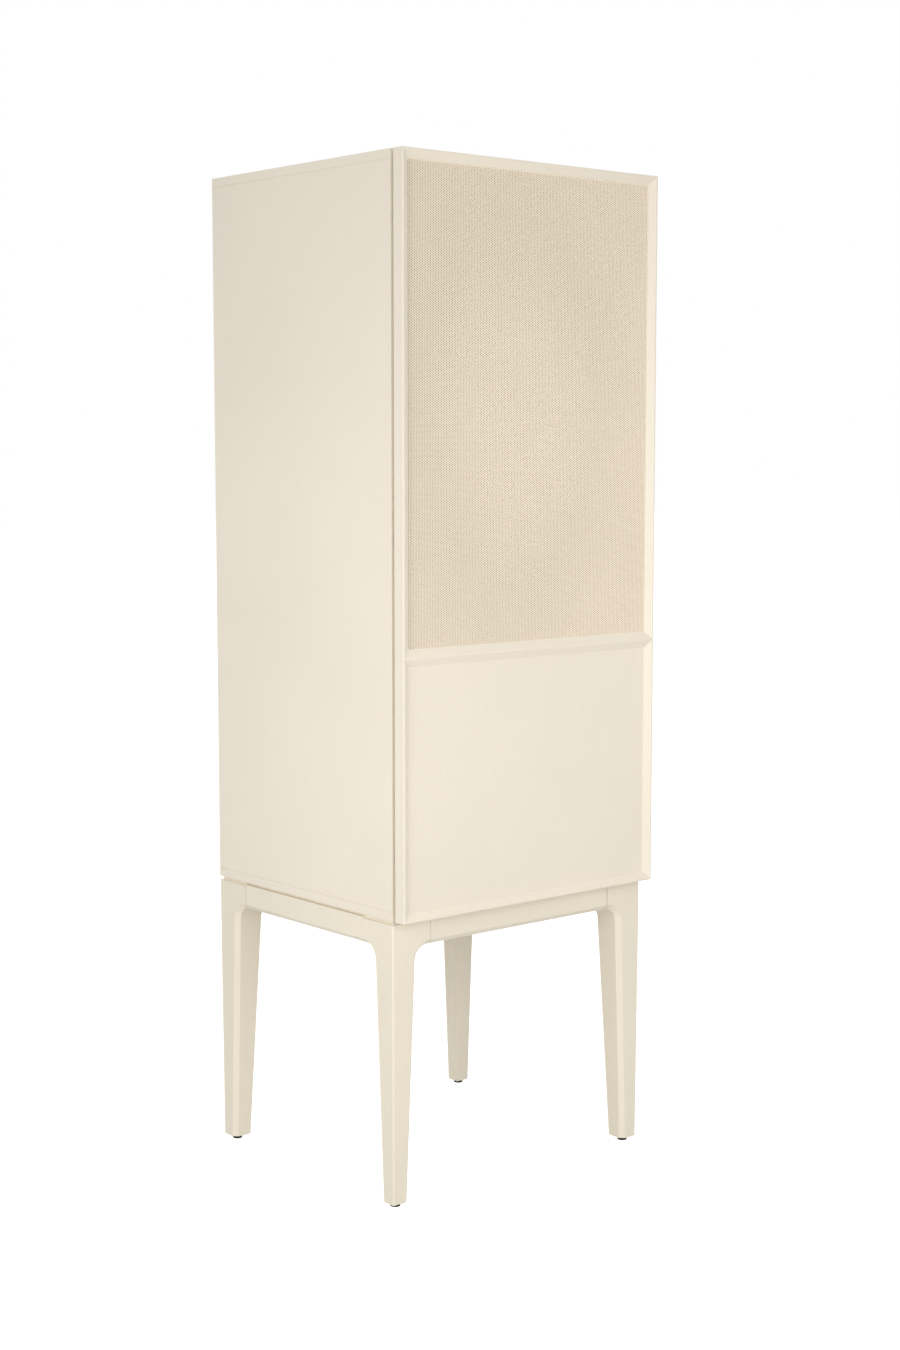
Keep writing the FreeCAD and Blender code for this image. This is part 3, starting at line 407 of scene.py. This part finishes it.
def hinge_screws():
    """Screws on each hinge's cup flange, on the wings of its plate and along its arm."""
    cups, plates, arms = [], [], []
    for level in HINGES:
        cup, plate, arm = (middle_of("hinge_%s_%s" % (part, level)) for part in ("cup", "plate", "arm"))
        cup_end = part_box("hinge_cup_" + level)[1]
        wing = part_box("hinge_plate_" + level)[0].x + PLATE_WING
        arm_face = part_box("hinge_arm_" + level)[1].x
        for side in (-1, 1):
            cups.append((cup_end.x - CUP_SCREW_INSET, cup_end.y, cup.z + side * CUP_SCREW_SPREAD))
            plates.append((wing, plate.y, plate.z + side * PLATE_SCREW_SPREAD))
            arms.append((arm_face, plate.y + side * ARM_SCREW_SPREAD, arm.z))
    screw_heads("cup_screws", cups, (0, 1, 0), radius=3.2 * MM, height=1.6 * MM, body="door")
    screw_heads("plate_screws", plates, (1, 0, 0), radius=3.6 * MM, height=1.8 * MM, body="cabinet")
    screw_heads("arm_screws", arms, (1, 0, 0), radius=3.0 * MM, height=1.0 * MM, body="cabinet")


def latch_screws():
    """One screw near the rear end of the latch's housing and two near its front end."""
    low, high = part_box("latch_housing")
    level = middle_of("latch_housing").z
    spots = [(low.x, high.y - LATCH_REAR_INSET, level)]
    for side in (-1, 1):
        spots.append((low.x, low.y + LATCH_FRONT_INSET, level + side * LATCH_SCREW_SPREAD))
    screw_heads("latch_screws", spots, (-1, 0, 0), radius=2.2 * MM, height=1.2 * MM, body="cabinet")


def strike_screws():
    """Two screws on the strike plate's face."""
    middle = middle_of("strike_plate")
    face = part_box("strike_plate")[1].y
    spots = [(middle.x, face, middle.z + side * STRIKE_SCREW_SPREAD) for side in (-1, 1)]
    screw_heads("strike_screws", spots, (0, 1, 0), radius=2.0 * MM, height=0.8 * MM, body="door")


hinge_screws()
latch_screws()
strike_screws()


# Foot glides, turned smooth: radius and height in millimetres from the floor up
GLIDE_SIDES = 40
GLIDE_PROFILE = ((8.2, 0.0), (8.7, 0.2), (8.95, 0.6), (9.0, 1.2), (9.0, 8.0))


def turned(name, middle):
    """A round button on the floor, with its axis upright through the middle."""
    points = []
    for radius, level in GLIDE_PROFILE:
        for n in range(GLIDE_SIDES):
            angle = 2 * math.pi * n / GLIDE_SIDES
            points.append((middle.x + radius * MM * math.cos(angle),
                           middle.y + radius * MM * math.sin(angle), level * MM))
    faces = join_rings(len(GLIDE_PROFILE), GLIDE_SIDES)
    faces.append(tuple(reversed(range(GLIDE_SIDES))))
    faces.append(tuple(range(len(points) - GLIDE_SIDES, len(points))))
    return smooth_piece(name, points, faces, BLACK, "cabinet")


for corner in CORNERS:
    button = turned("glide_button_" + corner, middle_of("glide_" + corner))
    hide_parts("glide_" + corner)


# Perforated sheet: staggered round holes, cut into strips of whole columns
PITCH = 4 * MM
COLUMN = PITCH * math.sqrt(3) / 2
HOLE_RADIUS = 1.0 * MM
HOLE_SIDES = 8
STRIPS = 8
LOWER_MARGIN, UPPER_MARGIN, SIDE_MARGIN = 11 * MM, 8 * MM, 5 * MM

sheet_low, sheet_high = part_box("mesh_sheet")
sheet_middle = middle_of("mesh_sheet").x
first_row = sheet_low.z + LOWER_MARGIN
ROWS = int((sheet_high.z - UPPER_MARGIN - first_row) / PITCH)
COLUMNS = int((sheet_high.x - sheet_low.x - 2 * SIDE_MARGIN) / COLUMN)

# lines between the columns, and levels half a pitch apart; the outer ones go to the sheet's edges
edges = sheet_middle + (np.arange(COLUMNS + 1) - COLUMNS / 2) * COLUMN
edges[0], edges[-1] = sheet_low.x, sheet_high.x
levels = first_row + np.arange(2 * ROWS + 1) * PITCH / 2
levels[0], levels[-1] = sheet_low.z, sheet_high.z
TALL = len(levels)

# a cell's six corners and its hole's corners, by their angles from the middle of the cell's right side
CORNER_ANGLE = math.degrees(math.atan2(PITCH, COLUMN))
CELL_ANGLES = [0, CORNER_ANGLE, 180 - CORNER_ANGLE, 180, 180 + CORNER_ANGLE, 360 - CORNER_ANGLE]
HOLE_ANGLES = [(side + 0.5) * 360 / HOLE_SIDES for side in range(HOLE_SIDES)]
hole_turns = np.radians(HOLE_ANGLES)
HOLE_RIM = HOLE_RADIUS * np.stack([np.cos(hole_turns), np.sin(hole_turns)], 1)


def cell_pattern():
    """Triangles of a cell's face round its hole, with the cell's corners numbered before the hole's."""
    turns = sorted((angle, n) for n, angle in enumerate(CELL_ANGLES + HOLE_ANGLES))
    outer, inner = 0, len(CELL_ANGLES) + HOLE_SIDES - 1
    faces = []
    for _, corner in turns[1:] + turns[:1]:
        faces.append((outer, corner, inner))
        if corner < len(CELL_ANGLES):
            outer = corner
        else:
            inner = corner
    return np.array(faces)


def strip_cells(first, last):
    """Corners and middles of the cells, and triangles for the plain ends of every other column."""
    cells, middles, plain = [], [], []
    for column in range(first, last):
        odd = column % 2
        left, right = (column - first) * TALL, (column - first + 1) * TALL
        for row in range(ROWS - odd):
            low = 2 * row + odd
            middle, high = low + 1, low + 2
            cells.append((right + middle, right + high, left + high, left + middle,
                          left + low, right + low))
            middles.append((sheet_middle + (column + 0.5 - COLUMNS / 2) * COLUMN, levels[middle]))
        if odd:
            for level in (0, TALL - 2):
                plain += [(left + level, right + level, right + level + 1),
                          (left + level, right + level + 1, left + level + 1)]
    return np.array(cells), np.array(middles), np.array(plain)


def strip_outline(columns):
    """Numbers of the strip's outer points, in one loop that starts along its lower edge."""
    lower = np.arange(columns + 1) * TALL
    right = lower[-1] + np.arange(1, TALL)
    upper = lower[-2::-1] + TALL - 1
    left = np.arange(TALL - 2, 0, -1)
    return np.concatenate([lower, right, upper, left])


def build_strip(first, last):
    """Points, triangles and quads of the columns from first to last, as one closed plate with holes."""
    grid = np.stack(np.meshgrid(edges[first:last + 1], levels, indexing="ij"), -1).reshape(-1, 2)
    cells, middles, plain = strip_cells(first, last)
    rims = len(grid) + np.arange(len(cells) * HOLE_SIDES).reshape(-1, HOLE_SIDES)
    front = np.concatenate([cells, rims], 1)[:, cell_pattern()].reshape(-1, 3)
    front = np.concatenate([front, plain])

    flat = np.concatenate([grid, (middles[:, None] + HOLE_RIM).reshape(-1, 2)])
    points = np.concatenate([np.insert(flat, 1, y, axis=1) for y in (sheet_low.y, sheet_high.y)])
    outline = strip_outline(last - first)
    starts = np.concatenate([rims.ravel(), np.roll(outline, -1)])
    ends = np.concatenate([np.roll(rims, -1, axis=1).ravel(), outline])
    walls = np.stack([starts, ends, ends + len(flat), starts + len(flat)], 1)
    return points, np.concatenate([front, front[:, ::-1] + len(flat)]), walls


def fill_mesh(mesh, points, triangles, quads):
    """Put many points and faces into the mesh at once."""
    loops = np.concatenate([triangles.ravel(), quads.ravel()]).astype(np.int32)
    starts = np.concatenate([np.arange(len(triangles)) * 3,
                             len(triangles) * 3 + np.arange(len(quads)) * 4]).astype(np.int32)
    mesh.vertices.add(len(points))
    mesh.vertices.foreach_set("co", points.astype(np.float32).ravel())
    mesh.loops.add(len(loops))
    mesh.loops.foreach_set("vertex_index", loops)
    mesh.polygons.add(len(starts))
    mesh.polygons.foreach_set("loop_start", starts)
    mesh.update(calc_edges=True)
    mesh.validate()
    mesh.shade_flat()


strip_ends = [round(COLUMNS * n / STRIPS) for n in range(STRIPS + 1)]
for count, (first, last) in enumerate(zip(strip_ends, strip_ends[1:]), start=1):
    mesh = bpy.data.meshes.new("sheet_strip_%d" % count)
    fill_mesh(mesh, *build_strip(first, last))
    strip = add_object(mesh, SHEET_PAINT)
    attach(strip, "door")
    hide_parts("mesh_sheet")


# Camera, fitted to the photo's straight edges
camera_data = bpy.data.cameras.new("camera")
camera_data.lens = 56.37
camera_data.sensor_width = 36
camera_data.clip_end = 100
camera = bpy.data.objects.new("camera", camera_data)
camera.location = (-2.5281, -3.0363, 1.3201)
camera.rotation_euler = (math.radians(83.928), 0, math.radians(-40.209))
bpy.context.scene.collection.objects.link(camera)
bpy.context.scene.camera = camera


# Studio light
def lamp(name, place, target, size, power):
    """An area lamp that faces its target and that the camera doesn't see."""
    light = bpy.data.lights.new(name, "AREA")
    light.shape = "RECTANGLE"
    light.size, light.size_y = size
    light.energy = power
    item = bpy.data.objects.new(name, light)
    item.location = place
    item.rotation_euler = (Vector(target) - Vector(place)).to_track_quat("-Z", "Y").to_euler()
    item.visible_camera = False
    bpy.context.scene.collection.objects.link(item)


lamp("left_box", place=(-1.7, -0.6, 1.0), target=(-0.3, -0.15, 1.05), size=(1.0, 1.0), power=8.8)
lamp("front_box", place=(-0.12, -1.9, 1.05), target=(0.0, -0.3, 1.05), size=(1.0, 1.1), power=8.7)
lamp("back_box", place=(0.6, 2.8, 1.2), target=(0.1, 0.2, 1.0), size=(2.0, 2.0), power=16)
lamp("high_box", place=(0.0, 0.0, 3.9), target=(0.0, 0.0, 1.0), size=(2.0, 2.0), power=8)


def shown_white(nodes, ambient, seen=1.0):
    """seen for the camera, mirrors and glass, and ambient for the light on everything else."""
    ray = nodes.add("LightPath").outputs
    direct = nodes.maths("MAXIMUM", ray["Is Camera Ray"], ray["Is Glossy Ray"])
    direct = nodes.maths("MAXIMUM", direct, ray["Is Transmission Ray"])
    return nodes.spread(direct, (ambient, seen))


def broad_side(nodes, side, power, share, even):
    """Even light plus a share from one side of the room, narrower with a higher power."""
    spots = nodes.add("TexCoord").outputs["Generated"]
    facing = nodes.add("VectorMath", {0: spots, 1: side}, operation="DOT_PRODUCT").outputs["Value"]
    lobe = nodes.maths("POWER", nodes.spread(facing, (0.0, 1.0)), power)
    return nodes.maths("MULTIPLY_ADD", lobe, share, even)


FRONT_LEFT = (-0.7071, -0.7071, 0)
world = bpy.data.worlds.new("studio")
bpy.context.scene.world = world
world.use_nodes = True
room = Nodes(world.node_tree)
background = room.tree.nodes["Background"]
background.inputs["Color"].default_value = (1, 1, 1, 1)
light = broad_side(room, FRONT_LEFT, power=3, share=0.92, even=0.445)
room.put(background.inputs["Strength"], shown_white(room, light))

# Paper floor, seen as plain white
FAR = 30
PAPER_GREY = (0.72, 0.72, 0.72)
PAPER_TONE, PAPER_SCALE = (0.99, 1.0), 3
floor_mesh = bpy.data.meshes.new("floor")
floor_mesh.from_pydata([(-FAR, -FAR, 0), (FAR, -FAR, 0), (FAR, FAR, 0), (-FAR, FAR, 0)], [],
                       [(0, 1, 2, 3)])
paper = Surface("floor_paper")
fibres = paper.spread(paper.noise(paper.place(), PAPER_SCALE), PAPER_TONE)
paper.set(Base_Color=paper.shade(PAPER_GREY, fibres), Roughness=0.9, Specular_IOR_Level=0.0,
          Emission_Color=(1, 1, 1, 1), Emission_Strength=shown_white(paper, 0.0, seen=0.88))
floor = add_object(floor_mesh, paper.material)

bpy.context.scene.view_settings.view_transform = "Standard"
